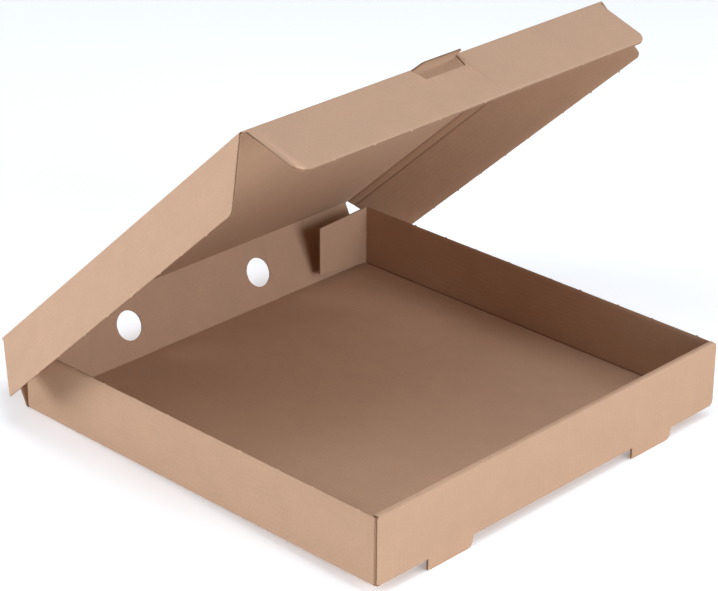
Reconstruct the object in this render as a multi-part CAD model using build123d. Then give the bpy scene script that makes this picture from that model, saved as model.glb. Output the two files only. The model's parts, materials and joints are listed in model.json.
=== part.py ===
from build123d import *
import os

# A corrugated cardboard pizza box, folded up from one die-cut sheet, with its lid half open.
#
# Frame, in millimetres: the origin is the centre of the floor's underside, +X runs right along the
# front wall, +Y runs to the back, where the lid is hinged, and +Z is up.
#
# The board is one sheet, but it bends at its creases, so each panel that still moves is its own
# piece. A crease turns about the line where the two inner faces meet. The panel nearer the floor ends
# there in a quarter round of one board's thickness, and the panel that turns starts just outside it.
# Every panel is drawn in the shut box, and is then turned about its crease to how far it is open.

# Board and clearances
BOARD = 1.5
CREASE_GAP = 0.15
LEAF_GAP = 0.1
PANEL_GAP = 0.3
EDGE_GAP = 0.2
TUCK_GAP = 1.5

# Tray
WIDTH = 305.0
DEPTH = 305.0
HEIGHT = 45.0
SIDE_WALL_DROP = 1.0
FRONT_PANEL_CORNER = 2.5

# Corner flaps of the side walls: one at the front, trapped in the double front wall, one at the back
FRONT_TUCK_LENGTH = 55.0
FRONT_TUCK_CORNER = 8.0
REAR_FLAP_LENGTH = 49.0
REAR_FLAP_TAPER = 8.0
REAR_FLAP_CORNER = 1.0

# Feet, cut out of the floor and left standing in the plane of the front wall
FOOT_WIDTH = 38.0
FOOT_LENGTH = 8.5
FOOT_OFFSET = 91.5
FOOT_SMALL_CORNER = 1.2
FOOT_LARGE_CORNER = 4.5

# Tabs of the inner front panel, which lock into the openings that the feet leave in the floor
TAB_GAP = 2.0
TAB_CORNER = 1.0

# Steam vents in the back wall
VENT_DIAMETER = 20.0
VENT_OFFSET = 58.0

# Lid
FLAP_FLOOR_GAP = 1.3
LID_FLAP_CORNER = 9.0
FRONT_FLAP_TAPER = 1.5
FRONT_FLAP_FLARE_LENGTH = 1.1
SIDE_FLAP_FRONT_TAPER = 12.5
SIDE_FLAP_REAR_TAPER = 8.5
SIDE_FLAP_FRONT_CORNER = 5.0
SIDE_FLAP_REAR_CORNER = 0.8
TONGUE_WIDTH = 38.0
TONGUE_TAPER = 2.5
TONGUE_LENGTH = 10.0
TONGUE_CORNER = 2.0

# How far each crease is open, in degrees from the shut box
BACK_WALL_OPEN = 27.0
LID_OPEN = 15.4
LID_FRONT_FLAP_OPEN = 30.0
LID_LEFT_FLAP_OPEN = 30.0
LID_RIGHT_FLAP_OPEN = 30.0
REAR_LEFT_FLAP_OPEN = 1.0
REAR_RIGHT_FLAP_OPEN = 4.0

# Tray faces, worked out from the sizes above
SIDE_IN = WIDTH / 2 - BOARD
FRONT_IN = -DEPTH / 2 + BOARD
REAR_IN = DEPTH / 2 - BOARD

# The double front wall, from its outer panel to its inner one, with a corner flap trapped between
TUCK_OUTER = FRONT_IN + LEAF_GAP
TUCK_INNER = TUCK_OUTER + BOARD
LINER_OUTER = TUCK_INNER + LEAF_GAP
LINER_INNER = LINER_OUTER + BOARD
LINER_HALF = SIDE_IN - EDGE_GAP
ROLL_BOTTOM = HEIGHT - BOARD
SIDE_TOP = HEIGHT - SIDE_WALL_DROP

# The creases that move
REAR_CREASE_Y = REAR_IN - PANEL_GAP - BOARD
LID_Z = HEIGHT + PANEL_GAP
LID_SIDE_X = WIDTH / 2 + PANEL_GAP
LID_FRONT_Y = LINER_INNER + PANEL_GAP + BOARD
LID_FRONT_HALF = SIDE_IN - TUCK_GAP
LID_CREASE_HALF = LID_SIDE_X - EDGE_GAP
LID_FLAP_HEIGHT = LID_Z - BOARD - FLAP_FLOOR_GAP

BACK_WALL_CREASE = Axis((0, REAR_IN, BOARD), (-1, 0, 0))
LID_CREASE = Axis((0, REAR_IN, LID_Z), (-1, 0, 0))
LID_FRONT_CREASE = Axis((0, LID_FRONT_Y, LID_Z), (-1, 0, 0))
LID_LEFT_CREASE = Axis((-LID_SIDE_X, 0, LID_Z), (0, 1, 0))
LID_RIGHT_CREASE = Axis((LID_SIDE_X, 0, LID_Z), (0, -1, 0))
REAR_LEFT_CREASE = Axis((-SIDE_IN, REAR_CREASE_Y, 0), (0, 0, -1))
REAR_RIGHT_CREASE = Axis((SIDE_IN, REAR_CREASE_Y, 0), (0, 0, 1))


def slab(x_span, y_span, z_span):
    """A flat piece of board between two values in x, in y and in z."""
    corner = (x_span[0], y_span[0], z_span[0])
    size = (x_span[1] - x_span[0], y_span[1] - y_span[0], z_span[1] - z_span[0])
    return Pos(*corner) * Box(*size, align=Align.MIN)


def quarter_round(start, side, length):
    """The outside of a fold: a quarter of a disc of one board's thickness, run along the crease.

    The disc's first edge points along side, the second a quarter turn further about length.
    """
    plane = Plane(origin=start, x_dir=side, z_dir=length)
    disc = Circle(BOARD) & Rectangle(BOARD, BOARD, align=Align.MIN)
    return extrude(plane * disc, Vector(*length).length)


def crease_clearance(crease):
    """The space a turning panel leaves free around its crease."""
    span = 3 * max(WIDTH, DEPTH)
    plane = Plane(origin=crease.position, z_dir=crease.direction)
    return extrude(plane * Circle(BOARD + CREASE_GAP), span / 2, both=True)


def rounded_outline(points, radii):
    """A closed outline with straight sides, and each corner rounded by its own radius."""
    outline = Polygon(*points, align=None)
    for point, radius in zip(points, radii):
        if radius > 0:
            corner = outline.vertices().sort_by_distance((*point, 0))[0]
            outline = fillet(corner, radius)
    return outline


def plate(plane, outline):
    """Board with a given outline on a plane, on the side that the plane faces."""
    return extrude(plane * outline, BOARD, dir=plane.z_dir)


def foot_outline():
    """A foot below the crease, which is at y = 0: the right-hand corner is the rounder one."""
    half = FOOT_WIDTH / 2
    points = [(-half, 0), (-half, -FOOT_LENGTH), (half, -FOOT_LENGTH), (half, 0)]
    return rounded_outline(points, [0, FOOT_SMALL_CORNER, FOOT_LARGE_CORNER, 0])


def tongue_outline(clearance=0.0):
    """The lid's tongue beyond the front crease, which is at y = 0, or the hole it leaves."""
    base = TONGUE_WIDTH / 2 + clearance
    tip = base - TONGUE_TAPER
    reach = TONGUE_LENGTH + clearance
    points = [(-base, 0), (-tip, -reach), (tip, -reach), (base, 0)]
    return rounded_outline(points, [0, TONGUE_CORNER, TONGUE_CORNER, 0])


def foot_centres():
    return [-FOOT_OFFSET, FOOT_OFFSET]


def make_floor():
    """The floor, the folds around it, and the openings that the feet were cut from."""
    floor = slab((-SIDE_IN, SIDE_IN), (FRONT_IN, REAR_IN), (0, BOARD))
    run = REAR_CREASE_Y + BOARD - TUCK_OUTER
    side_fold = quarter_round((SIDE_IN, TUCK_OUTER, BOARD), (1, 0, 0), (0, run, 0))
    floor += [side_fold, side_fold.mirror(Plane.YZ)]
    floor += quarter_round((-SIDE_IN, FRONT_IN, BOARD), (0, -1, 0), (2 * SIDE_IN, 0, 0))
    floor += quarter_round((-SIDE_IN, REAR_IN, BOARD), (0, 0, -1), (2 * SIDE_IN, 0, 0))
    for x in foot_centres():
        floor -= plate(Plane.XY, Pos(x, FRONT_IN) * foot_outline().mirror(Plane.XZ))
    return floor


def make_right_wall():
    """The right wall, with its front corner flap folded behind the outer front panel."""
    wall = slab((SIDE_IN, WIDTH / 2), (TUCK_INNER, REAR_CREASE_Y), (BOARD, SIDE_TOP))
    upright = (0, 0, SIDE_TOP - BOARD)
    wall += quarter_round((SIDE_IN, REAR_CREASE_Y, BOARD), (1, 0, 0), upright)
    wall += quarter_round((SIDE_IN, TUCK_INNER, BOARD), (0, -1, 0), upright)
    low, high = BOARD + EDGE_GAP, ROLL_BOTTOM - EDGE_GAP
    inner_end = SIDE_IN - FRONT_TUCK_LENGTH
    points = [(SIDE_IN, low), (SIDE_IN, high), (inner_end, high), (inner_end, low)]
    outline = rounded_outline(points, [0, 0, FRONT_TUCK_CORNER, FRONT_TUCK_CORNER])
    wall += plate(Plane.XZ.offset(-TUCK_INNER), outline)
    return wall


def make_front_wall():
    """The outer front panel, rolled over at the top into the inner panel, with the feet and the tabs."""
    half = WIDTH / 2
    points = [(-half, BOARD), (-half, HEIGHT), (half, HEIGHT), (half, BOARD)]
    outer = rounded_outline(points, [0, FRONT_PANEL_CORNER, FRONT_PANEL_CORNER, 0])
    wall = slab((-half, half), (-DEPTH / 2, FRONT_IN), (BOARD, ROLL_BOTTOM))
    wall += quarter_round((-half, FRONT_IN, ROLL_BOTTOM), (0, 0, 1), (WIDTH, 0, 0))
    wall &= plate(Plane.XZ.offset(-FRONT_IN), outer)

    wall += slab((-LINER_HALF, LINER_HALF), (FRONT_IN, LINER_OUTER), (ROLL_BOTTOM, HEIGHT))
    wall += quarter_round((-LINER_HALF, LINER_OUTER, ROLL_BOTTOM), (0, 1, 0), (2 * LINER_HALF, 0, 0))
    wall += slab((-LINER_HALF, LINER_HALF), (LINER_OUTER, LINER_INNER), (BOARD + LEAF_GAP, ROLL_BOTTOM))

    tab_half = FOOT_WIDTH / 2 - TAB_GAP
    tab_top = BOARD + LEAF_GAP
    points = [(-tab_half, tab_top), (-tab_half, EDGE_GAP), (tab_half, EDGE_GAP), (tab_half, tab_top)]
    tab = rounded_outline(points, [0, TAB_CORNER, TAB_CORNER, 0])
    for x in foot_centres():
        wall += plate(Plane.XZ.offset(-FRONT_IN), Pos(x, BOARD) * foot_outline())
        wall += plate(Plane.XZ.offset(-LINER_INNER), Pos(x, 0) * tab)
    return wall


def make_tray():
    right = make_right_wall()
    return make_floor() + [right, right.mirror(Plane.YZ), make_front_wall()]


def make_back_wall():
    half = WIDTH / 2 - EDGE_GAP
    wall = slab((-half, half), (REAR_IN, DEPTH / 2), (BOARD, LID_Z))
    wall -= crease_clearance(BACK_WALL_CREASE)
    wall += quarter_round((-half, REAR_IN, LID_Z), (0, 1, 0), (2 * half, 0, 0))
    middle = (BOARD + LID_Z) / 2
    for x in (-VENT_OFFSET, VENT_OFFSET):
        wall -= plate(Plane.XZ.offset(-DEPTH / 2), Pos(x, middle) * Circle(VENT_DIAMETER / 2))
    return wall


def make_lid():
    """The lid's panel with the folds on its three free sides, and the tongue cut from its front flap."""
    panel = slab((-LID_SIDE_X, LID_SIDE_X), (LID_FRONT_Y, REAR_IN), (LID_Z, LID_Z + BOARD))
    panel -= crease_clearance(LID_CREASE)
    run = REAR_IN - BOARD - CREASE_GAP - LID_FRONT_Y
    side_fold = quarter_round((LID_SIDE_X, LID_FRONT_Y, LID_Z), (0, 0, 1), (0, run, 0))
    panel += [side_fold, side_fold.mirror(Plane.YZ)]
    panel += quarter_round((-LID_CREASE_HALF, LID_FRONT_Y, LID_Z), (0, 0, 1), (2 * LID_CREASE_HALF, 0, 0))
    panel += plate(Plane.XY.offset(LID_Z), Pos(0, LID_FRONT_Y) * tongue_outline())
    return panel


def make_lid_front_flap():
    """The lid's front flap hanging from its crease, with the hole that the tongue leaves.

    It is as wide as the lid at its crease, and narrows at once to fit between the side walls.
    """
    right = [
        (LID_FRONT_HALF - FRONT_FLAP_TAPER, -LID_FLAP_HEIGHT),
        (LID_FRONT_HALF, -FRONT_FLAP_FLARE_LENGTH),
        (LID_CREASE_HALF, 0),
    ]
    left = [(-x, y) for x, y in reversed(right)]
    outline = rounded_outline(left + right, [0, 0, LID_FLAP_CORNER, LID_FLAP_CORNER, 0, 0])
    outline -= tongue_outline(EDGE_GAP)
    flap = plate(Plane.XZ.offset(-LID_FRONT_Y), Pos(0, LID_Z) * outline)
    return flap - crease_clearance(LID_FRONT_CREASE)


def make_lid_right_flap():
    """The lid's right flap hanging from its crease, outside the tray's wall."""
    low = LID_Z - LID_FLAP_HEIGHT
    rear = REAR_IN - BOARD
    points = [
        (LID_FRONT_Y, LID_Z),
        (LID_FRONT_Y + SIDE_FLAP_FRONT_TAPER, low),
        (rear - SIDE_FLAP_REAR_TAPER, low),
        (rear, LID_Z),
    ]
    outline = rounded_outline(points, [0, SIDE_FLAP_FRONT_CORNER, SIDE_FLAP_REAR_CORNER, 0])
    flap = plate(Plane.YZ.offset(LID_SIDE_X), outline)
    return flap - crease_clearance(LID_RIGHT_CREASE)


def make_rear_right_flap():
    """The right wall's rear corner flap, folded along the back wall."""
    low, high = BOARD + EDGE_GAP, SIDE_TOP
    inner_end = SIDE_IN - REAR_FLAP_LENGTH
    points = [(SIDE_IN, low), (SIDE_IN, high), (inner_end, high), (inner_end, low + REAR_FLAP_TAPER)]
    outline = rounded_outline(points, [0, 0, REAR_FLAP_CORNER, REAR_FLAP_CORNER])
    flap = plate(Plane.XZ.offset(-REAR_CREASE_Y - BOARD), outline)
    return flap - crease_clearance(REAR_RIGHT_CREASE)


def open_with_lid(shape):
    """Turns a shape of the shut box by as much as the back wall and the lid are open."""
    return shape.rotate(LID_CREASE, LID_OPEN).rotate(BACK_WALL_CREASE, BACK_WALL_OPEN)


def make_box():
    """Every piece where it lies in the open box, by the name of its part."""
    right_flap = make_lid_right_flap()
    left_flap = right_flap.mirror(Plane.YZ)
    front_flap = make_lid_front_flap()
    rear_right = make_rear_right_flap()
    rear_left = rear_right.mirror(Plane.YZ)
    return {
        "tray": make_tray(),
        "back_wall": make_back_wall().rotate(BACK_WALL_CREASE, BACK_WALL_OPEN),
        "lid": open_with_lid(make_lid()),
        "lid_front_flap": open_with_lid(front_flap.rotate(LID_FRONT_CREASE, LID_FRONT_FLAP_OPEN)),
        "lid_left_flap": open_with_lid(left_flap.rotate(LID_LEFT_CREASE, LID_LEFT_FLAP_OPEN)),
        "lid_right_flap": open_with_lid(right_flap.rotate(LID_RIGHT_CREASE, LID_RIGHT_FLAP_OPEN)),
        "rear_left_flap": rear_left.rotate(REAR_LEFT_CREASE, REAR_LEFT_FLAP_OPEN),
        "rear_right_flap": rear_right.rotate(REAR_RIGHT_CREASE, REAR_RIGHT_FLAP_OPEN),
    }


os.makedirs("parts", exist_ok=True)
for name, shape in make_box().items():
    export_step(shape, f"parts/{name}.step")
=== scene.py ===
import json
import math
import random

import bpy
import numpy as np
from mathutils import Matrix, Quaternion, Vector

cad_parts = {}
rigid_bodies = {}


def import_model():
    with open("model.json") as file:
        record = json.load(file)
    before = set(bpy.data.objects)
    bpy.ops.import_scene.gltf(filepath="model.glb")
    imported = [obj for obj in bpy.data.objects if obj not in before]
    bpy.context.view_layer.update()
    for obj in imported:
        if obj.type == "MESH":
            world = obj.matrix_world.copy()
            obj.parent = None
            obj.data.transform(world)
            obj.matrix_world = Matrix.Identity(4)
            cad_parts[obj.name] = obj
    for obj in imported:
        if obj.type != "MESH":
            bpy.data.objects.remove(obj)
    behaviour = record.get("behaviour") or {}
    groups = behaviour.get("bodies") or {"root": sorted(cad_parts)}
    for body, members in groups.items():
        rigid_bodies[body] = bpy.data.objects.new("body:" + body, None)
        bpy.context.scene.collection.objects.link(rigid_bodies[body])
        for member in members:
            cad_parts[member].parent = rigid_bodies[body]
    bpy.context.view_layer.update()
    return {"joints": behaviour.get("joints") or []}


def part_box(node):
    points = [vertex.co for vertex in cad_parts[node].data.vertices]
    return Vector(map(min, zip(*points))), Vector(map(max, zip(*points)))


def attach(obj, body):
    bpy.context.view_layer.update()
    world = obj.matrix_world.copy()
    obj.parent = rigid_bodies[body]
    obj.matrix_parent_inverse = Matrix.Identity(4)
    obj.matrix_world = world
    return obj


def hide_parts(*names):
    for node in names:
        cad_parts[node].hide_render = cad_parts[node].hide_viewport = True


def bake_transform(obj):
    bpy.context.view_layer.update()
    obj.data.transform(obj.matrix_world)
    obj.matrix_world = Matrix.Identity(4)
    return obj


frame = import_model()

# A pizza box of corrugated board, half open. Each panel is built as real board: an outer and an inner
# liner with a fluted sheet between them, folded round the creases of the CAD model. Metres throughout.
# A panel is laid out by u, along its crease, v, away from it, and n, from its inner face outwards.

# Board
BOARD = 0.0015
LINER = 0.00024
FLUTED = 0.0002
FLUTE_PITCH = 0.0034
FLUTE_PHASE = 0.3 * FLUTE_PITCH
FLUTE_BITE = 0.00001
WASHBOARD = 0.000018

# How finely the board is meshed. A column shorter than EDGE_ROOM times its rows draws them together.
COLUMNS_PER_FLUTE = 5
FOLD_STEPS = 5
ROW_SPACING = 0.05
EDGE_ROWS = (0.0, 0.0004, 0.0009, 0.0016, 0.0026)
EDGE_ROOM = 2.5
MARK_STOPS = (-2, -1, 0, 1, 2)
CORNER_STEPS = 6
LARGE_CORNER_STEPS = 10
FRONT_CORNER_STEPS = 8
VENT_STEPS = 24
SHARP_ANGLE = 40
ROW_DIGITS = 9
COLUMN_DIGITS = 8
COLUMN_SLACK = 1e-9
MERGE_SCALE = 1e8
OUTLINE_JUMP = 1e-7

# Nicks: the small tufts left on a cut edge where it was held in the sheet until it was torn out
NICK_SPACING = 0.030
NICK_WIDTH = 0.0006
NICK_DEPTH = 0.0008
NICK_SIZE = 0.0008
NICK_TONE = 0.30
NICK_PLACES = (0.35, 0.65)
NICK_SIZES = (0.4, 1.2)
FRONT_FLAP_SEED = 5
SIDE_FLAP_SEED = 7
SIDE_FLAP_NICK_START = 0.01

# How the die crushes the board near a cut: the share of its thickness that is lost, and how far in
CRUSH = (0.30, 0.0009)
HARD_CRUSH = (0.5, 0.0030)
EDGE_CRUSH = (0.6, 0.0012)

# Crease marks on the inner liner: a dent's depth and width, and the shade and width of a line of painted
# shade along the crease, standing in for the fold's shadow
WALL_DENT, WALL_PAINTED_SHADE = (0.00020, 0.0008), (-0.50, 0.0009)
LID_DENT, LID_PAINTED_SHADE = (0.00012, 0.0006), (-0.2, 0.0005)
FLAP_DENT, FLAP_PAINTED_SHADE = (0.00015, 0.0006), (-0.25, 0.0006)
SECOND_CREASE, SECOND_DENT = 0.0055, (0.00025, 0.0006)
# A painted highlight on the strip between a flap's two creases, which turns towards the light: where it
# lies, its shade and width
PAINTED_HIGHLIGHT_BETWEEN_CREASES = (0.0028, 0.08, 0.0015)

# Scuffs at the front flap's left corner: in from its end, up from its lower edge, shade and width
SCUFFS = ((0.0020, 0.0045, 0.35, 0.0012), (0.0035, 0.0025, 0.45, 0.0014))

# Clearances and cuts of the folded sheet
EDGE_GAP = 0.0002
LEAF_GAP = 0.0001
SIDE_WALL_DROP = 0.001
FOOT_WIDTH = 0.038
FOOT_OFFSET = 0.0915
FOOT_SMALL_CORNER = 0.0012
FOOT_LARGE_CORNER = 0.0045
TAB_GAP = 0.002
FRONT_TOP_CORNER = 0.0025
FRONT_LOW_CORNER = 0.0015
TUCK_LENGTH = 0.055
TUCK_CORNER = 0.008
REAR_FLAP_LENGTH = 0.049
REAR_FLAP_TAPER = 0.008
REAR_FLAP_CORNER = 0.001
VENT_RADIUS = 0.010
VENT_OFFSET = 0.058
FLAP_HEIGHT = 0.0425
FRONT_FLAP_TAPER = 0.0015
FRONT_FLAP_CORNER = 0.009
FRONT_FLAP_GAP = 0.0015
FRONT_FLAP_FLARE = 0.0011
SIDE_FLAP_FRONT_TAPER = 0.0125
SIDE_FLAP_REAR_TAPER = 0.0085
SIDE_FLAP_FRONT_CORNER = 0.005
SIDE_FLAP_REAR_CORNER = 0.0008
TONGUE_HALF = 0.019
TONGUE_TAPER = 0.0025
TONGUE_LENGTH = 0.010
TONGUE_CORNER = 0.002

X, Y, Z = np.eye(3)


# ---------------------------------------------------------------- the frame, shut and at rest


def joint_to(body):
    """The joint that a body turns on."""
    return next(j for j in frame["joints"] if j["child"] == body)


def opening_of(body):
    """How far a body stands open at rest, in radians."""
    return -math.radians(joint_to(body)["range_deg"][0])


def shut_move(body):
    """The move that takes a body from its rest place to where it lies in the shut box."""
    if body == "tray":
        return Matrix.Identity(4)
    joint = joint_to(body)
    pivot = Vector(joint["pos_m"])
    turn = Matrix.Rotation(-opening_of(body), 4, Vector(joint["axis"]))
    own = Matrix.Translation(pivot) @ turn @ Matrix.Translation(-pivot)
    return shut_move(joint["parent"]) @ own


def shut_crease(body):
    """A point of a body's crease in the shut box."""
    joint = joint_to(body)
    return np.array(shut_move(joint["parent"]) @ Vector(joint["pos_m"]))


tray_low, tray_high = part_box("tray")
SIDE_OUT = tray_high.x
SIDE_IN = SIDE_OUT - BOARD
FRONT_IN = tray_low.y + BOARD
HEIGHT = tray_high.z
SIDE_TOP = HEIGHT - SIDE_WALL_DROP
FOOT_BOTTOM = tray_low.z
REAR_IN = shut_crease("back_wall")[1]
LID_Z = shut_crease("lid")[2]
LID_FRONT_Y = shut_crease("lid_front_flap")[1]
LID_SIDE = shut_crease("lid_right_flap")[0]
REAR_FLAP_Y = shut_crease("rear_right_flap")[1]
ROLL_BOTTOM = HEIGHT - BOARD
TUCK_INNER = FRONT_IN + LEAF_GAP + BOARD
LINER_OUTER = TUCK_INNER + LEAF_GAP
LINER_HALF = SIDE_IN - EDGE_GAP
FOOT_LENGTH = BOARD - FOOT_BOTTOM
BACK_HALF = SIDE_OUT - EDGE_GAP
LID_REAR_Y = REAR_IN - BOARD
LID_CREASE_HALF = LID_SIDE - EDGE_GAP


# ---------------------------------------------------------------- outlines


def arc(centre, radius, start, stop, steps):
    """Points round an arc, between two angles in degrees."""
    angles = np.radians(np.linspace(start, stop, steps + 1))
    return [(centre[0] + radius * math.cos(a), centre[1] + radius * math.sin(a)) for a in angles]


def rounded(points, radii, steps=CORNER_STEPS):
    """An open line of points with its corners rounded, each by its own radius."""
    line = [points[0]]
    for before, corner, after, radius in zip(points, points[1:], points[2:], radii[1:]):
        if radius == 0:
            line.append(corner)
            continue
        here = np.array(corner)
        inward = np.array(before) - here
        onward = np.array(after) - here
        inward /= np.linalg.norm(inward)
        onward /= np.linalg.norm(onward)
        half = math.acos(np.clip(inward @ onward, -1, 1)) / 2
        middle = (inward + onward) / np.linalg.norm(inward + onward)
        centre = here + middle * radius / math.sin(half)
        first = here + inward * radius / math.tan(half) - centre
        last = here + onward * radius / math.tan(half) - centre
        sweep = math.pi - 2 * half
        for k in range(steps + 1):
            share = k / steps
            point = math.sin((1 - share) * sweep) * first + math.sin(share * sweep) * last
            line.append(tuple(centre + point / math.sin(sweep)))
    line.append(points[-1])
    return line


# ---------------------------------------------------------------- panels


class Panel:
    """How a panel lies in space: straight runs and folds one after the other, away from its crease.

    A fold turns about the line where the inner faces meet. v is 0 where the first straight run starts,
    so a first fold has negative v.
    """

    def __init__(self, pivot, along, heading, outward, legs, sheet, flutes_along_v=True):
        self.along = np.array(along, float)
        self.sheet = sheet
        self.flutes_along_v = flutes_along_v
        self.legs = []
        place = np.array(pivot, float)
        heading, outward = np.array(heading, float), np.array(outward, float)
        v = 0.0
        if legs[0][0] == "fold":
            angle = legs[0][1]
            v = -BOARD * angle
            turned = heading * math.cos(angle) + outward * math.sin(angle)
            outward = outward * math.cos(angle) - heading * math.sin(angle)
            heading = turned
        for kind, amount in legs:
            length = BOARD * amount if kind == "fold" else amount
            self.legs.append((kind, amount, v, v + length, place, heading, outward))
            v += length
            if kind == "fold":
                turned = heading * math.cos(amount) - outward * math.sin(amount)
                outward = outward * math.cos(amount) + heading * math.sin(amount)
                heading = turned
            else:
                place = place + heading * amount
        self.end = v

    def stops(self, spacing=ROW_SPACING):
        """Values of v that the panel's mesh has to have."""
        found = []
        for kind, _, start, stop, *_ in self.legs:
            steps = FOLD_STEPS if kind == "fold" else max(1, math.ceil((stop - start) / spacing))
            found += list(np.linspace(start, stop, steps + 1))
        return sorted(set(round(v, ROW_DIGITS) for v in found))

    def at(self, u, v, n):
        """The points of the panel for arrays of u, v and n."""
        points = np.zeros(u.shape + (3,))
        for index, (kind, amount, start, stop, place, heading, outward) in enumerate(self.legs):
            after = v >= start if index else np.full(v.shape, True)
            if kind == "fold":
                angle = (v - start) / BOARD
                spoke = np.cos(angle)[..., None] * outward + np.sin(angle)[..., None] * heading
                here = place + n[..., None] * spoke
            else:
                here = place + (v - start)[..., None] * heading + n[..., None] * outward
            points[after] = here[after]
        return points + u[..., None] * self.along


def nicks_along(seed, first, last, v):
    """Nicks on a straight edge at v, from first to last: where each one is, and its size."""
    draw = random.Random(seed)
    found = []
    for k in range(int((last - first) / NICK_SPACING)):
        u = first + (k + draw.uniform(*NICK_PLACES)) * NICK_SPACING
        found.append((u, v, draw.uniform(*NICK_SIZES)))
    return found


def distance_to(line, u, v):
    """How far points lie from a line of (u, v) points."""
    nearest = np.full(u.shape, np.inf)
    for (ua, va), (ub, vb) in zip(line, line[1:]):
        du, dv = ub - ua, vb - va
        share = np.clip(((u - ua) * du + (v - va) * dv) / max(du * du + dv * dv, 1e-12), 0, 1)
        nearest = np.minimum(nearest, np.hypot(u - ua - share * du, v - va - share * dv))
    return nearest


class Mesh:
    """Points and faces gathered for one piece, with what its material reads at each point."""

    def __init__(self):
        self.points, self.sheet, self.tone, self.faces, self.parts = [], [], [], [], []
        self.count = 0

    def add(self, points, sheet, tone, faces, parts):
        self.points.append(points)
        self.sheet.append(sheet)
        self.tone.append(tone)
        self.faces += [tuple(i + self.count for i in face) for face in faces]
        self.parts += parts
        self.count += len(points)

    def piece(self, name, move):
        """The finished object, with its points moved from the shut box to their rest place."""
        points = np.concatenate(self.points)
        turn = np.array(move)
        points = points @ turn[:3, :3].T + turn[:3, 3]
        data = bpy.data.meshes.new(name)
        data.from_pydata(points.tolist(), [], self.faces)
        data.polygons.foreach_set("material_index", self.parts)
        data.polygons.foreach_set("use_smooth", [True] * len(self.faces))
        sheet = data.attributes.new("sheet", "FLOAT_VECTOR", "POINT")
        sheet.data.foreach_set("vector", np.concatenate(self.sheet).astype(np.float32).ravel())
        # The tone attribute carries painted shade and highlight along the creases, and the light nicks and
        # scuffs
        tone = data.attributes.new("tone", "FLOAT", "POINT")
        tone.data.foreach_set("value", np.concatenate(self.tone).astype(np.float32))
        data.update()
        data.set_sharp_from_angle(angle=math.radians(SHARP_ANGLE))
        for material in (kraft, cut_edge):
            data.materials.append(material)
        piece = bpy.data.objects.new(name, data)
        bpy.context.scene.collection.objects.link(piece)
        return piece


FACE, CUT = 0, 1


def closed_sheet(low, high, part):
    """A closed sheet between two grids of points: its points, its faces and their materials."""
    columns, rows = low.shape[:2]
    points = np.concatenate([low.reshape(-1, 3), high.reshape(-1, 3)])
    index = np.arange(columns * rows).reshape(columns, rows)
    top = index + columns * rows

    def quads(a, b, c, d):
        return np.stack([a, b, c, d], -1).reshape(-1, 4)

    upper = quads(top[:-1, :-1], top[1:, :-1], top[1:, 1:], top[:-1, 1:])
    lower = quads(index[:-1, :-1], index[:-1, 1:], index[1:, 1:], index[1:, :-1])
    edges = [
        quads(index[:-1, 0], index[1:, 0], top[1:, 0], top[:-1, 0]),
        quads(index[1:, -1], index[:-1, -1], top[:-1, -1], top[1:, -1]),
        quads(index[0, 1:], index[0, :-1], top[0, :-1], top[0, 1:]),
        quads(index[-1, :-1], index[-1, 1:], top[-1, 1:], top[-1, :-1]),
    ]
    faces = np.concatenate([upper, lower, *edges])
    parts = np.full(len(faces), CUT)
    parts[: 2 * len(upper)] = part

    a, b, c = (points[upper[:, k]] for k in (0, 1, 2))
    normals = np.cross(b - a, c - a)
    lift = points[upper[:, 0]] - points[upper[:, 0] - columns * rows]
    if (normals * lift).sum() < 0:
        faces = faces[:, ::-1]

    places = np.round(points * MERGE_SCALE).astype(np.int64)
    _, keep, merged = np.unique(places, axis=0, return_index=True, return_inverse=True)
    faces = merged.reshape(-1)[faces]
    kept_faces, kept_parts = [], []
    for face, kind in zip(faces.tolist(), parts.tolist()):
        ring = [i for k, i in enumerate(face) if i != face[k - 1]]
        if len(set(ring)) >= 3 and len(set(ring)) == len(ring):
            kept_faces.append(ring)
            kept_parts.append(kind)
    return keep, points[keep], kept_faces, kept_parts


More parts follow.
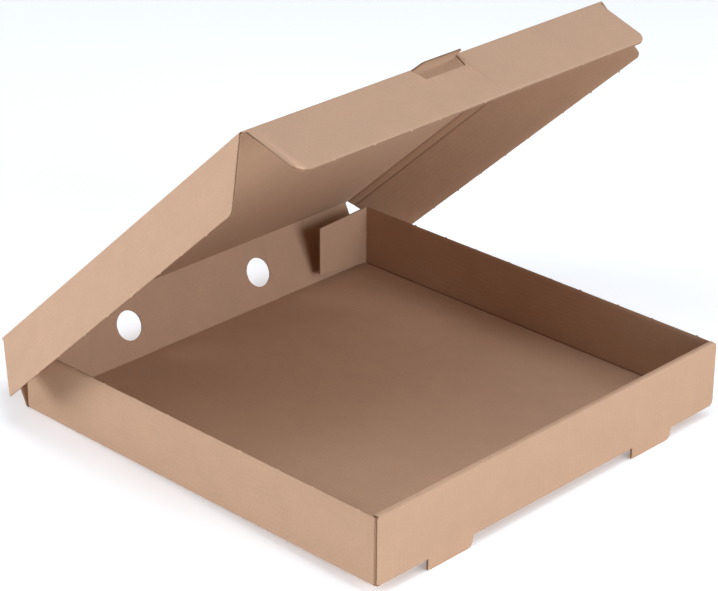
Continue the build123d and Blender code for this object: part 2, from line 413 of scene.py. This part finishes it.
def add_board(
    mesh, panel, start_line, stop_line, cuts=(), dents=(), painted_light_bands=(), free=(False, True), nicks=(), scuffs=()
):
    """Adds corrugated board between two lines, each a list of (across, along) points.

    Across is the direction over the flutes and along is the direction they run in. cuts are
    (line, depth, reach): the board is crushed near such an edge. dents are (v, depth, width) on the
    inner face, and the bands of painted shade and painted highlight along creases are (v, shade,
    width) there, nicks come from nicks_along, and scuffs are (u, v, shade, width). free says whether
    the start and the stop are cut edges, which get finer rows.
    """
    first, last = start_line[0][0], start_line[-1][0]
    step = FLUTE_PITCH / COLUMNS_PER_FLUTE
    columns = list(np.arange(math.ceil(first / step) + 0.0, last / step) * step)
    columns += [p for p, _ in list(start_line) + list(stop_line)]
    marks = [at + k * width for at, _, width in (*dents, *painted_light_bands) for k in MARK_STOPS]
    nick_stops = [at + k * NICK_WIDTH for at, *_ in nicks for k in MARK_STOPS]
    if panel.flutes_along_v:
        columns += nick_stops
    else:
        columns += panel.stops(1.0) + marks
    columns = [c for c in columns if first - COLUMN_SLACK <= c <= last + COLUMN_SLACK]
    columns = np.array(sorted(set(round(c, COLUMN_DIGITS) for c in columns)))
    starts = np.interp(columns, *zip(*start_line))
    ends = np.interp(columns, *zip(*stop_line))

    edge = np.array(EDGE_ROWS)
    reach = np.minimum(1.0, (ends - starts) / (EDGE_ROOM * edge[-1]))[:, None]
    low = starts[:, None] + (reach * edge if free[0] else 0 * reach)
    high = ends[:, None] - (reach * edge[::-1] if free[1] else 0 * reach)
    if panel.flutes_along_v:
        stops = np.array(sorted(panel.stops() + marks))
    else:
        stops = np.arange(math.ceil(starts.min() / ROW_SPACING), ends.max() / ROW_SPACING) * ROW_SPACING
        stops = np.array(sorted([*stops, *nick_stops]))
    between = np.clip(stops[None, :], low[:, -1:], np.maximum(high[:, :1], low[:, -1:]))
    along = np.concatenate([low, between, high], axis=1)
    across = np.repeat(columns[:, None], along.shape[1], axis=1)
    u, v = (across, along) if panel.flutes_along_v else (along, across)

    squeeze = np.ones(u.shape)
    for line, depth, width in cuts:
        squeeze *= 1 - depth * np.exp(-((distance_to(line, u, v) / width) ** 2))
    # Painted shade along the creases, and a painted highlight between a flap's two creases, for the inner
    # face's colour
    tone = np.zeros(u.shape)
    for where, shade, width in painted_light_bands:
        tone += shade * np.exp(-(((v - where) / width) ** 2))
    dent = np.zeros(u.shape)
    for where, depth, width in dents:
        dent += depth * np.exp(-(((v - where) / width) ** 2))

    fuzz = np.zeros(u.shape)
    for at, edge_v, size in nicks:
        bump = size * np.exp(-(((u - at) / NICK_WIDTH) ** 2) - ((v - edge_v) / NICK_DEPTH) ** 2)
        v = v + NICK_SIZE * bump
        fuzz += NICK_TONE * bump
    for at, height, shade, width in scuffs:
        fuzz += shade * np.exp(-(((u - at) / width) ** 2) - ((v - height) / width) ** 2)

    x_flat, y_flat = panel.sheet(u, v)
    wave = np.cos(2 * math.pi * (x_flat + FLUTE_PHASE) / FLUTE_PITCH)
    rib = WASHBOARD * wave
    swing = (BOARD / 2 - LINER - FLUTED / 2 + FLUTE_BITE) * wave
    middle = BOARD / 2
    layers = [
        (-rib + dent, LINER + dent, FACE, tone + fuzz),
        (middle + swing - FLUTED / 2, middle + swing + FLUTED / 2, CUT, fuzz),
        (np.full(u.shape, BOARD - LINER), BOARD + rib, FACE, fuzz),
    ]
    for bottom, top, part, marked in layers:
        grids = []
        for n in (bottom, top):
            grids.append(panel.at(u, v, middle + (n - middle) * squeeze))
        keep, points, faces, parts = closed_sheet(*grids, part)
        flat = np.stack([x_flat, y_flat, 0 * x_flat], -1).reshape(-1, 3)
        flat = np.concatenate([flat, flat])[keep]
        shades = np.concatenate([marked.ravel(), marked.ravel()])[keep]
        mesh.add(points, flat, shades, faces, parts)


def level(value, first, last):
    """A line that stays at one value from first to last."""
    return [(first, value), (last, value)]


def straight(length):
    return ("straight", length)


def fold(angle):
    return ("fold", angle)


QUARTER = math.pi / 2


# ---------------------------------------------------------------- materials


def new_material(name):
    material = bpy.data.materials.new(name)
    material.use_nodes = True
    tree = material.node_tree
    shader = tree.nodes["Principled BSDF"]
    return material, tree, shader


def link(tree, out, into):
    tree.links.new(out, into)


def math_node(tree, operation, a, b=None):
    node = tree.nodes.new("ShaderNodeMath")
    node.operation = operation
    for socket, value in zip(node.inputs, (a, b)):
        if value is None:
            continue
        if isinstance(value, (int, float)):
            socket.default_value = value
        else:
            link(tree, value, socket)
    return node.outputs[0]


def noise(tree, place, stretch, detail=3.0, rough=0.55):
    """Noise over the flat sheet, about 0 on average, with its scale in cycles for each metre."""
    mapping = tree.nodes.new("ShaderNodeMapping")
    mapping.inputs["Scale"].default_value = stretch
    link(tree, place, mapping.inputs["Vector"])
    node = tree.nodes.new("ShaderNodeTexNoise")
    node.inputs["Scale"].default_value = 1.0
    node.inputs["Detail"].default_value = detail
    node.inputs["Roughness"].default_value = rough
    link(tree, mapping.outputs[0], node.inputs["Vector"])
    return math_node(tree, "SUBTRACT", node.outputs[0], 0.5)


# Noise over the sheet, in cycles for each metre over the flutes and along them
FIBRES = (450, 1000, 1)
CLOUDS = (60, 45, 1)
DRIFTS = (9, 14, 1)
SPECKS = (420, 800, 1)
RIB_PATCHES = (120, 30, 1)
DRIFT_SHARE = 0.35
SPECK_LEVEL = 0.17
PAPER_SPECULAR = 0.25
FIBRE_RELIEF = 0.0002
KRAFT_COLOUR = (0.449, 0.2735, 0.168)
CUT_COLOUR = (0.390, 0.235, 0.141)


def paper_material(name, colour, fibre, mottle, specks, rib_glue_and_shade, roughness, bump):
    """Kraft paper: fibres, cloudy mottling, dark specks, and faint stripes over the flutes behind it,
    partly their glue lines and partly painted shade of the washboard ripple. The tone attribute adds
    painted shade and highlight along the creases, and the light nicks and scuffs.
    """
    material, tree, shader = new_material(name)
    attribute = tree.nodes.new("ShaderNodeAttribute")
    attribute.attribute_name = "sheet"
    place = attribute.outputs["Vector"]
    shade = tree.nodes.new("ShaderNodeAttribute")
    shade.attribute_name = "tone"

    fine = noise(tree, place, FIBRES, 5.0, 0.72)
    cloud = noise(tree, place, CLOUDS)
    drift = noise(tree, place, DRIFTS, 2.0)
    dots = noise(tree, place, SPECKS, 2.0, 0.6)
    speck = math_node(tree, "MAXIMUM", math_node(tree, "SUBTRACT", dots, SPECK_LEVEL), 0.0)

    # Stripes over the flutes: partly their glue lines showing through, partly painted shade of the
    # washboard ripple
    split = tree.nodes.new("ShaderNodeSeparateXYZ")
    link(tree, place, split.inputs[0])
    turns = math_node(tree, "MULTIPLY", split.outputs[0], 2 * math.pi / FLUTE_PITCH)
    rib = math_node(tree, "SINE", turns)
    patchy = math_node(tree, "ADD", noise(tree, place, RIB_PATCHES, 2.0), 0.5)
    rib = math_node(tree, "MULTIPLY", rib, patchy)

    total = math_node(tree, "MULTIPLY", fine, fibre)
    for signal, amount in ((cloud, mottle), (drift, DRIFT_SHARE * mottle), (speck, -specks), (rib, rib_glue_and_shade)):
        total = math_node(tree, "ADD", total, math_node(tree, "MULTIPLY", signal, amount))
    # The tone attribute: painted shade and highlight along the creases, and the light nicks and scuffs
    total = math_node(tree, "ADD", total, shade.outputs["Fac"])
    factor = math_node(tree, "ADD", total, 1.0)

    paint = tree.nodes.new("ShaderNodeVectorMath")
    paint.operation = "SCALE"
    paint.inputs[0].default_value = colour
    link(tree, factor, paint.inputs["Scale"])
    link(tree, paint.outputs[0], shader.inputs["Base Color"])

    shader.inputs["Roughness"].default_value = roughness
    shader.inputs["Specular IOR Level"].default_value = PAPER_SPECULAR
    relief = tree.nodes.new("ShaderNodeBump")
    relief.inputs["Strength"].default_value = bump
    relief.inputs["Distance"].default_value = FIBRE_RELIEF
    link(tree, fine, relief.inputs["Height"])
    link(tree, relief.outputs[0], shader.inputs["Normal"])
    return material


kraft = paper_material(
    "kraft_liner", KRAFT_COLOUR,
    fibre=0.30, mottle=0.13, specks=1.2, rib_glue_and_shade=0.008, roughness=0.88, bump=0.35,
)
cut_edge = paper_material(
    "cut_board_edge", CUT_COLOUR,
    fibre=0.30, mottle=0.15, specks=1.0, rib_glue_and_shade=0.0, roughness=0.95, bump=0.6,
)


# ---------------------------------------------------------------- the tray


def floor_sheet(u, v):
    return u, FRONT_IN + v


def foot_line(depth):
    """The outline of a foot from left to right, down to a depth below its crease."""
    half = FOOT_WIDTH / 2
    points = [(-half, 0.0), (-half, depth), (half, depth), (half, 0.0)]
    return rounded(points, [0, FOOT_SMALL_CORNER, FOOT_LARGE_CORNER, 0])


def shifted(line, across, along=0.0):
    return [(p + across, s + along) for p, s in line]


def inside(line):
    """A line without its first and last points, which stand on a jump."""
    return line[1:-1]


def foot_spans(half):
    """The spans of a panel from left to right, between its ends and its feet: (left, right, is a foot)."""
    edges = [-half]
    for x in (-FOOT_OFFSET, FOOT_OFFSET):
        edges += [x - FOOT_WIDTH / 2, x + FOOT_WIDTH / 2]
    edges.append(half)
    return [(left, right, k % 2 == 1) for k, (left, right) in enumerate(zip(edges, edges[1:]))]


def make_floor():
    """The floor, with an opening where each foot was cut from it."""
    mesh = Mesh()
    depth = REAR_IN - FRONT_IN
    panel = Panel((0, FRONT_IN, BOARD), X, Y, -Z, [straight(depth)], floor_sheet)
    for left, right, opening in foot_spans(SIDE_IN):
        start = level(0, left, right)
        if opening:
            start = shifted(inside(foot_line(FOOT_LENGTH)), (left + right) / 2)
        cuts = [(start, *CRUSH)] if opening else []
        add_board(mesh, panel, start, level(depth, left, right), cuts, free=(opening, False))
    return mesh.piece("floor_panel", Matrix.Identity(4))


def front_sheet(u, v):
    return u, FRONT_IN - v


def front_corner_line(inner, edge):
    """The rounded top corner of the outer front panel, from its inner end out to its edge.

    The panel bends over into the roll above ROLL_BOTTOM, so its height there is an angle of that fold.
    """
    line = []
    for x in np.linspace(inner, edge, FRONT_CORNER_STEPS + 1):
        past = max(0.0, abs(x) - (SIDE_OUT - FRONT_TOP_CORNER))
        z = HEIGHT - FRONT_TOP_CORNER + math.sqrt(max(0.0, FRONT_TOP_CORNER**2 - past**2))
        over = max(0.0, (z - ROLL_BOTTOM) / BOARD)
        v = min(z, ROLL_BOTTOM) - BOARD + BOARD * math.asin(min(1.0, over))
        line.append((x, v))
    return line


def make_front_wall():
    """The outer front panel with its feet, rolled over into the inner panel with its tabs."""
    mesh = Mesh()
    rise = straight(ROLL_BOTTOM - BOARD)
    roll = [fold(QUARTER), straight(LINER_OUTER - FRONT_IN), fold(QUARTER)]
    drop = ROLL_BOTTOM - BOARD - LEAF_GAP
    pivot = (0, FRONT_IN, BOARD)
    folded = Panel(pivot, X, Z, -Y, [fold(QUARTER), rise, *roll, straight(drop)], front_sheet)
    plain = Panel(pivot, X, Z, -Y, [rise, *roll, straight(drop)], front_sheet)
    bottom = folded.legs[0][2]
    for side in (-1, 1):
        edge, inner = side * SIDE_OUT, side * LINER_HALF
        upper = front_corner_line(inner, edge)
        lower = [(inner, 0.0), (edge, 0.0), (edge, rise[1] / 2)]
        lower = rounded(lower, [0, FRONT_LOW_CORNER, 0])[:-1]
        upper, lower = (line if side > 0 else line[::-1] for line in (upper, lower))
        add_board(mesh, plain, lower, upper, [(upper, *CRUSH), (lower, *CRUSH)], free=(True, True))
    for left, right, has_foot in foot_spans(LINER_HALF):
        panel = plain if has_foot else folded
        start = level(bottom, left, right)
        if has_foot:
            start = shifted(inside(foot_line(-FOOT_LENGTH)), (left + right) / 2)
        cuts = [(start, *CRUSH)] if has_foot else []
        stop = level(panel.end, left, right)
        add_board(mesh, panel, start, stop, cuts, free=(has_foot, True))
        if has_foot:
            foot_of_liner = (0, LINER_OUTER, BOARD + LEAF_GAP)
            tab = Panel(foot_of_liner, X, -Z, Y, [straight(BOARD)], front_sheet)
            ends = (left + TAB_GAP, right - TAB_GAP)
            reach = BOARD - EDGE_GAP + LEAF_GAP
            add_board(mesh, tab, level(0, *ends), level(reach, *ends), free=(False, False))
    return mesh.piece("front_wall_panel", Matrix.Identity(4))


def wall_sheet(side):
    def sheet(u, v):
        return side * (SIDE_IN + v), u

    return sheet


def end_sheet(side, y, outward):
    """The flat place of a corner flap, which carries on from the end of a side wall."""

    def sheet(u, v):
        return side * (SIDE_IN + u - BOARD), y + outward * v

    return sheet


def make_side_wall(side):
    """A side wall, and the corner flap at its front that is trapped in the front wall."""
    name = "right_wall" if side > 0 else "left_wall"
    mesh = Mesh()
    out = side * X
    panel = Panel(
        (side * SIDE_IN, 0, BOARD), Y, Z, out, [fold(QUARTER), straight(SIDE_TOP - BOARD)],
        wall_sheet(side), flutes_along_v=False,
    )
    first, last = panel.legs[0][2], panel.end
    top_edge = [(TUCK_INNER, last), (REAR_FLAP_Y, last)]
    # The crease with the floor gets a line of painted shade on the wall's inner face
    add_board(
        mesh, panel, level(TUCK_INNER, first, last), level(REAR_FLAP_Y, first, last),
        [(top_edge, *EDGE_CRUSH)], dents=[(0.0, *WALL_DENT)], painted_light_bands=[(0.0, *WALL_PAINTED_SHADE)],
        free=(False, False), nicks=nicks_along(side, TUCK_INNER, REAR_FLAP_Y, last),
    )
    low, high = BOARD + EDGE_GAP, ROLL_BOTTOM - EDGE_GAP
    tuck = Panel(
        (side * SIDE_IN, TUCK_INNER, 0), Z, -side * X, -Y, [fold(QUARTER), straight(TUCK_LENGTH)],
        end_sheet(side, TUCK_INNER, -1),
    )
    end = [(low, 0.0), (low, tuck.end), (high, tuck.end), (high, 0.0)]
    end = inside(rounded(end, [0, TUCK_CORNER, TUCK_CORNER, 0]))
    stop = [(BOARD, 0.0), (low - OUTLINE_JUMP, 0.0), *end, (high + OUTLINE_JUMP, 0.0), (SIDE_TOP, 0.0)]
    add_board(mesh, tuck, level(tuck.legs[0][2], BOARD, SIDE_TOP), stop, [(end, *CRUSH)])
    return mesh.piece(f"{name}_panel", Matrix.Identity(4))


# ---------------------------------------------------------------- what turns


def rest_place(body):
    """The move from the shut box to where a body rests."""
    return shut_move(body).inverted()


def blend_over_fold(piece, body):
    """Bakes the piece's transform into its points; the body's rest place is worked out but not used."""
    move = rest_place(body)
    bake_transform(piece)


def back_sheet(u, v):
    return u, REAR_IN + v


def make_back_wall():
    """The back wall, with its two round vents."""
    mesh = Mesh()
    height = LID_Z - BOARD
    legs = [fold(QUARTER - opening_of("back_wall")), straight(height)]
    panel = Panel((0, REAR_IN, BOARD), X, Z, Y, legs, back_sheet)
    bottom, middle = panel.legs[0][2], height / 2
    inner = [-BACK_HALF]
    for x in (-VENT_OFFSET, VENT_OFFSET):
        rim = arc((x, middle), VENT_RADIUS, 180, 0, VENT_STEPS)
        low_rim = [(p, 2 * middle - s) for p, s in rim]
        left, right = x - VENT_RADIUS, x + VENT_RADIUS
        add_board(mesh, panel, level(bottom, left, right), low_rim, [(low_rim, *CRUSH)])
        add_board(mesh, panel, rim, level(height, left, right), [(rim, *CRUSH)], free=(True, False))
        inner += [left, right]
    inner.append(BACK_HALF)
    for left, right in zip(inner[::2], inner[1::2]):
        # The crease with the floor gets a line of painted shade on the inner face
        add_board(mesh, panel, level(bottom, left, right), level(height, left, right),
                  dents=[(0.0, *LID_DENT)], painted_light_bands=[(0.0, *LID_PAINTED_SHADE)], free=(False, False))
    piece = mesh.piece("back_wall_panel", rest_place("back_wall"))
    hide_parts("back_wall")
    blend_over_fold(piece, "back_wall")


def tongue_line(clearance=0.0):
    """The tongue's outline beyond the lid's front crease, from left to right."""
    base = TONGUE_HALF + clearance
    tip = base - TONGUE_TAPER
    reach = TONGUE_LENGTH + clearance
    points = [(-base, 0.0), (-tip, reach), (tip, reach), (base, 0.0)]
    return rounded(points, [0, TONGUE_CORNER, TONGUE_CORNER, 0])


def lid_sheet(u, v):
    return u, REAR_IN + LID_Z - BOARD + v


def make_lid():
    """The lid, with the tongue at the middle of its front crease."""
    mesh = Mesh()
    depth = REAR_IN - LID_FRONT_Y
    legs = [fold(QUARTER - opening_of("lid")), straight(depth)]
    panel = Panel((0, REAR_IN, LID_Z), X, -Y, Z, legs, lid_sheet)
    bottom = panel.legs[0][2]
    tongue = shifted(tongue_line(), 0.0, depth)
    edges = [-LID_SIDE, -TONGUE_HALF, TONGUE_HALF, LID_SIDE]
    for left, right in zip(edges, edges[1:]):
        has_tongue = left == -TONGUE_HALF
        stop = tongue if has_tongue else level(depth, left, right)
        cuts = [(tongue, *CRUSH)] if has_tongue else []
        # The crease with the back wall gets a line of painted shade on the inner face
        add_board(mesh, panel, level(bottom, left, right), stop, cuts,
                  dents=[(0.0, *LID_DENT)], painted_light_bands=[(0.0, *LID_PAINTED_SHADE)], free=(False, has_tongue))
    piece = mesh.piece("lid_panel", rest_place("lid"))
    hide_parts("lid")
    blend_over_fold(piece, "lid")


def front_flap_sheet(u, v):
    return u, REAR_IN + LID_Z - BOARD + REAR_IN - LID_FRONT_Y + v


def make_lid_front_flap():
    """The lid's front flap, with the hole that the tongue leaves in it."""
    mesh = Mesh()
    legs = [fold(QUARTER - opening_of("lid_front_flap")), straight(FLAP_HEIGHT)]
    panel = Panel((0, LID_FRONT_Y, LID_Z), X, -Z, -Y, legs, front_flap_sheet)
    bottom = panel.legs[0][2]
    half = SIDE_IN - FRONT_FLAP_GAP
    tip = half - FRONT_FLAP_TAPER
    outline = [(-half, FRONT_FLAP_FLARE), (-tip, FLAP_HEIGHT), (tip, FLAP_HEIGHT), (half, FRONT_FLAP_FLARE)]
    outline = rounded(outline, [0, FRONT_FLAP_CORNER, FRONT_FLAP_CORNER, 0], LARGE_CORNER_STEPS)
    outline = [(-LID_CREASE_HALF, 0.0), *outline, (LID_CREASE_HALF, 0.0)]
    scuffs = [(inset - tip, FLAP_HEIGHT - rise, shade, width) for inset, rise, shade, width in SCUFFS]
    straight_half = tip - FRONT_FLAP_CORNER
    bottom_nicks = nicks_along(FRONT_FLAP_SEED, -straight_half, straight_half, FLAP_HEIGHT)
    hole = tongue_line(EDGE_GAP)
    base = hole[-1][0]
    for left, right in ((-LID_CREASE_HALF, -base), (-base, base), (base, LID_CREASE_HALF)):
        in_hole = left == -base
        start = hole if in_hole else level(bottom, left, right)
        stop = [(left, np.interp(left, *zip(*outline)))]
        stop += [point for point in outline if left < point[0] < right]
        stop += [(right, np.interp(right, *zip(*outline)))]
        cuts = [(outline, *CRUSH)] + ([(hole, *CRUSH)] if in_hole else [])
        nicks = [nick for nick in bottom_nicks if left < nick[0] < right]
        add_board(mesh, panel, start, stop, cuts, free=(in_hole, True), nicks=nicks, scuffs=scuffs)
    piece = mesh.piece("lid_front_flap_panel", rest_place("lid_front_flap"))
    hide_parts("lid_front_flap")
    blend_over_fold(piece, "lid_front_flap")


def side_flap_sheet(side):
    def sheet(u, v):
        return side * (LID_SIDE + v), REAR_IN + LID_Z - BOARD + REAR_IN - u

    return sheet


def make_lid_side_flap(side):
    """A side flap of the lid, with its second crease close beside the first."""
    body = "lid_right_flap" if side > 0 else "lid_left_flap"
    mesh = Mesh()
    legs = [fold(QUARTER - opening_of(body)), straight(FLAP_HEIGHT)]
    panel = Panel(
        (side * LID_SIDE, 0, LID_Z), Y, -Z, side * X, legs, side_flap_sheet(side), flutes_along_v=False
    )
    first = panel.legs[0][2]
    front_low = LID_FRONT_Y + SIDE_FLAP_FRONT_TAPER
    rear_low = LID_REAR_Y - SIDE_FLAP_REAR_TAPER
    middle = ((front_low + rear_low) / 2, FLAP_HEIGHT)
    front = [(LID_FRONT_Y, 0.0), (front_low, FLAP_HEIGHT), middle]
    rear = [(LID_REAR_Y, 0.0), (rear_low, FLAP_HEIGHT), middle]
    front = rounded(front, [0, SIDE_FLAP_FRONT_CORNER, 0])
    rear = rounded(rear, [0, SIDE_FLAP_REAR_CORNER, 0])
    start = [(first, LID_FRONT_Y)] + [(v, u) for u, v in front[:-1]]
    stop = [(first, LID_REAR_Y)] + [(v, u) for u, v in rear[:-1]]
    cuts = [(front, *CRUSH), (rear, *CRUSH), ([front[-2], rear[-2]], *HARD_CRUSH)]
    nicks = nicks_along(SIDE_FLAP_SEED + side, front_low + SIDE_FLAP_NICK_START, rear_low, FLAP_HEIGHT)
    # Both creases get a line of painted shade, and the strip between them a painted highlight
    add_board(mesh, panel, start, stop, cuts,
              dents=[(0.0, *FLAP_DENT), (SECOND_CREASE, *SECOND_DENT)],
              painted_light_bands=[(0.0, *FLAP_PAINTED_SHADE), (SECOND_CREASE, *FLAP_PAINTED_SHADE), PAINTED_HIGHLIGHT_BETWEEN_CREASES],
              free=(True, True), nicks=nicks)
    piece = mesh.piece(f"{body}_panel", rest_place(body))
    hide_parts(body)
    blend_over_fold(piece, body)


def make_rear_flap(side):
    """The corner flap at the rear of a side wall."""
    body = "rear_right_flap" if side > 0 else "rear_left_flap"
    mesh = Mesh()
    legs = [fold(QUARTER - opening_of(body)), straight(REAR_FLAP_LENGTH)]
    pivot = (side * SIDE_IN, REAR_FLAP_Y, 0)
    panel = Panel(pivot, Z, -side * X, Y, legs, end_sheet(side, REAR_FLAP_Y, 1))
    low, high = BOARD + EDGE_GAP, SIDE_TOP
    tip = low + REAR_FLAP_TAPER
    end = [(low, 0.0), (tip, REAR_FLAP_LENGTH), (high, REAR_FLAP_LENGTH), (high, 0.0)]
    end = rounded(end, [0, REAR_FLAP_CORNER, REAR_FLAP_CORNER, 0])
    add_board(mesh, panel, level(panel.legs[0][2], low, high), end[:-1], [(end, *CRUSH)])
    piece = mesh.piece(f"{body}_panel", rest_place(body))
    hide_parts(body)
    blend_over_fold(piece, body)


def make_box():
    tray_pieces = [make_floor(), make_front_wall(), make_side_wall(-1), make_side_wall(1)]
    for piece in tray_pieces:
        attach(piece, "tray")
        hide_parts("tray")
    make_back_wall()
    make_lid()
    make_lid_front_flap()
    for side in (-1, 1):
        make_lid_side_flap(side)
        make_rear_flap(side)


# ---------------------------------------------------------------- studio

CAMERA_AZIMUTH = -45.993
CAMERA_ELEVATION = 25.430
CAMERA_ROLL = 0.405
CAMERA_DISTANCE = 1.7734
CAMERA_TARGET = Vector((0.11145, 0.11771, 0.0))
CAMERA_LENS = 129.76
CAMERA_SENSOR = 36.0


def make_camera():
    azimuth, elevation = math.radians(CAMERA_AZIMUTH), math.radians(CAMERA_ELEVATION)
    flat = math.cos(elevation)
    back = Vector((math.sin(azimuth) * flat, -math.cos(azimuth) * flat, math.sin(elevation)))
    data = bpy.data.cameras.new("camera")
    data.sensor_width = CAMERA_SENSOR
    data.lens = CAMERA_LENS
    camera = bpy.data.objects.new("camera", data)
    camera.rotation_mode = "QUATERNION"
    camera.location = CAMERA_TARGET + back * CAMERA_DISTANCE
    roll = Quaternion((0, 0, 1), math.radians(CAMERA_ROLL))
    camera.rotation_quaternion = (-back).to_track_quat("-Z", "Y") @ roll
    bpy.context.scene.collection.objects.link(camera)
    bpy.context.scene.camera = camera


FLOOR_REACH = 12.0
FLOOR_GAP = 0.0001
FLOOR_COLOUR = (0.95, 0.92, 0.87, 1)
FLOOR_ROUGHNESS = 0.9
WHITE = (1, 1, 1, 1)

# The floor's glow: how far from the box it starts and stops growing, and its strength at each
FLOOR_GLOW = (0.8, 5.0, 0.18, 1.0)


def make_stage():
    """A plain pale floor under the feet and the rear bottom edge, which the box leans back on.

    Behind the box it runs level, so that the sheet lies on it when every crease is unfolded. It glows a
    little, and more so far away, where the softboxes do not reach.
    """
    front_y, rear_y = FRONT_IN - BOARD / 2, REAR_IN
    slope = -FOOT_BOTTOM / (rear_y - front_y)
    points = []
    for y in (-FLOOR_REACH, rear_y, FLOOR_REACH):
        z = min(0.0, (y - rear_y) * slope) - FLOOR_GAP
        points += [(-FLOOR_REACH, y, z), (FLOOR_REACH, y, z)]
    data = bpy.data.meshes.new("studio_floor")
    data.from_pydata(points, [], [(0, 1, 3, 2), (2, 3, 5, 4)])
    floor = bpy.data.objects.new("studio_floor", data)
    material, tree, shader = new_material("pale_floor")
    shader.inputs["Base Color"].default_value = FLOOR_COLOUR
    shader.inputs["Emission Color"].default_value = WHITE
    coordinates = tree.nodes.new("ShaderNodeTexCoord")
    distance = tree.nodes.new("ShaderNodeVectorMath")
    distance.operation = "LENGTH"
    link(tree, coordinates.outputs["Object"], distance.inputs[0])
    fade = tree.nodes.new("ShaderNodeMapRange")
    fade.interpolation_type = "SMOOTHSTEP"
    for socket, value in zip(("From Min", "From Max", "To Min", "To Max"), FLOOR_GLOW):
        fade.inputs[socket].default_value = value
    link(tree, distance.outputs["Value"], fade.inputs["Value"])
    link(tree, fade.outputs["Result"], shader.inputs["Emission Strength"])
    shader.inputs["Roughness"].default_value = FLOOR_ROUGHNESS
    data.materials.append(material)
    bpy.context.scene.collection.objects.link(floor)


LIGHT_CENTRE = Vector((0.0, 0.0, 0.1))
LIGHT_DISTANCE = 2.4
LIGHT_SIZE = 1.4
LIGHT_TINT = (0.80, 0.875, 1.0)
WORLD_STRENGTH = 0.04

# Each softbox: its name, azimuth and elevation in degrees, and watts
SOFTBOXES = (
    ("front_softbox", 0, 15, 45.5),
    ("rear_left_softbox", 225, 15, 56.0),
    ("front_right_softbox", 45, 45, 22.5),
    ("left_softbox", 270, 45, 14.0),
    ("top_softbox", 0, 80, 26.0),
)


def softbox(name, azimuth, elevation, watts):
    """A round softbox that faces the box, at an angle from the front and above the floor, in degrees."""
    data = bpy.data.lights.new(name, "AREA")
    data.shape = "DISK"
    data.size = LIGHT_SIZE
    data.energy = watts
    data.color = LIGHT_TINT
    turn, rise = math.radians(azimuth), math.radians(elevation)
    flat = math.cos(rise)
    away = Vector((math.sin(turn) * flat, -math.cos(turn) * flat, math.sin(rise)))
    light = bpy.data.objects.new(name, data)
    light.location = LIGHT_CENTRE + away * LIGHT_DISTANCE
    light.rotation_mode = "QUATERNION"
    light.rotation_quaternion = (-away).to_track_quat("-Z", "Y")
    light.visible_camera = False
    bpy.context.scene.collection.objects.link(light)


def make_lights():
    world = bpy.data.worlds.new("studio")
    world.use_nodes = True
    background = world.node_tree.nodes["Background"]
    background.inputs["Color"].default_value = WHITE
    background.inputs["Strength"].default_value = WORLD_STRENGTH
    bpy.context.scene.world = world
    for name, azimuth, elevation, watts in SOFTBOXES:
        softbox(name, azimuth, elevation, watts)
    bpy.context.scene.view_settings.view_transform = "Standard"


make_box()
make_camera()
make_stage()
make_lights()
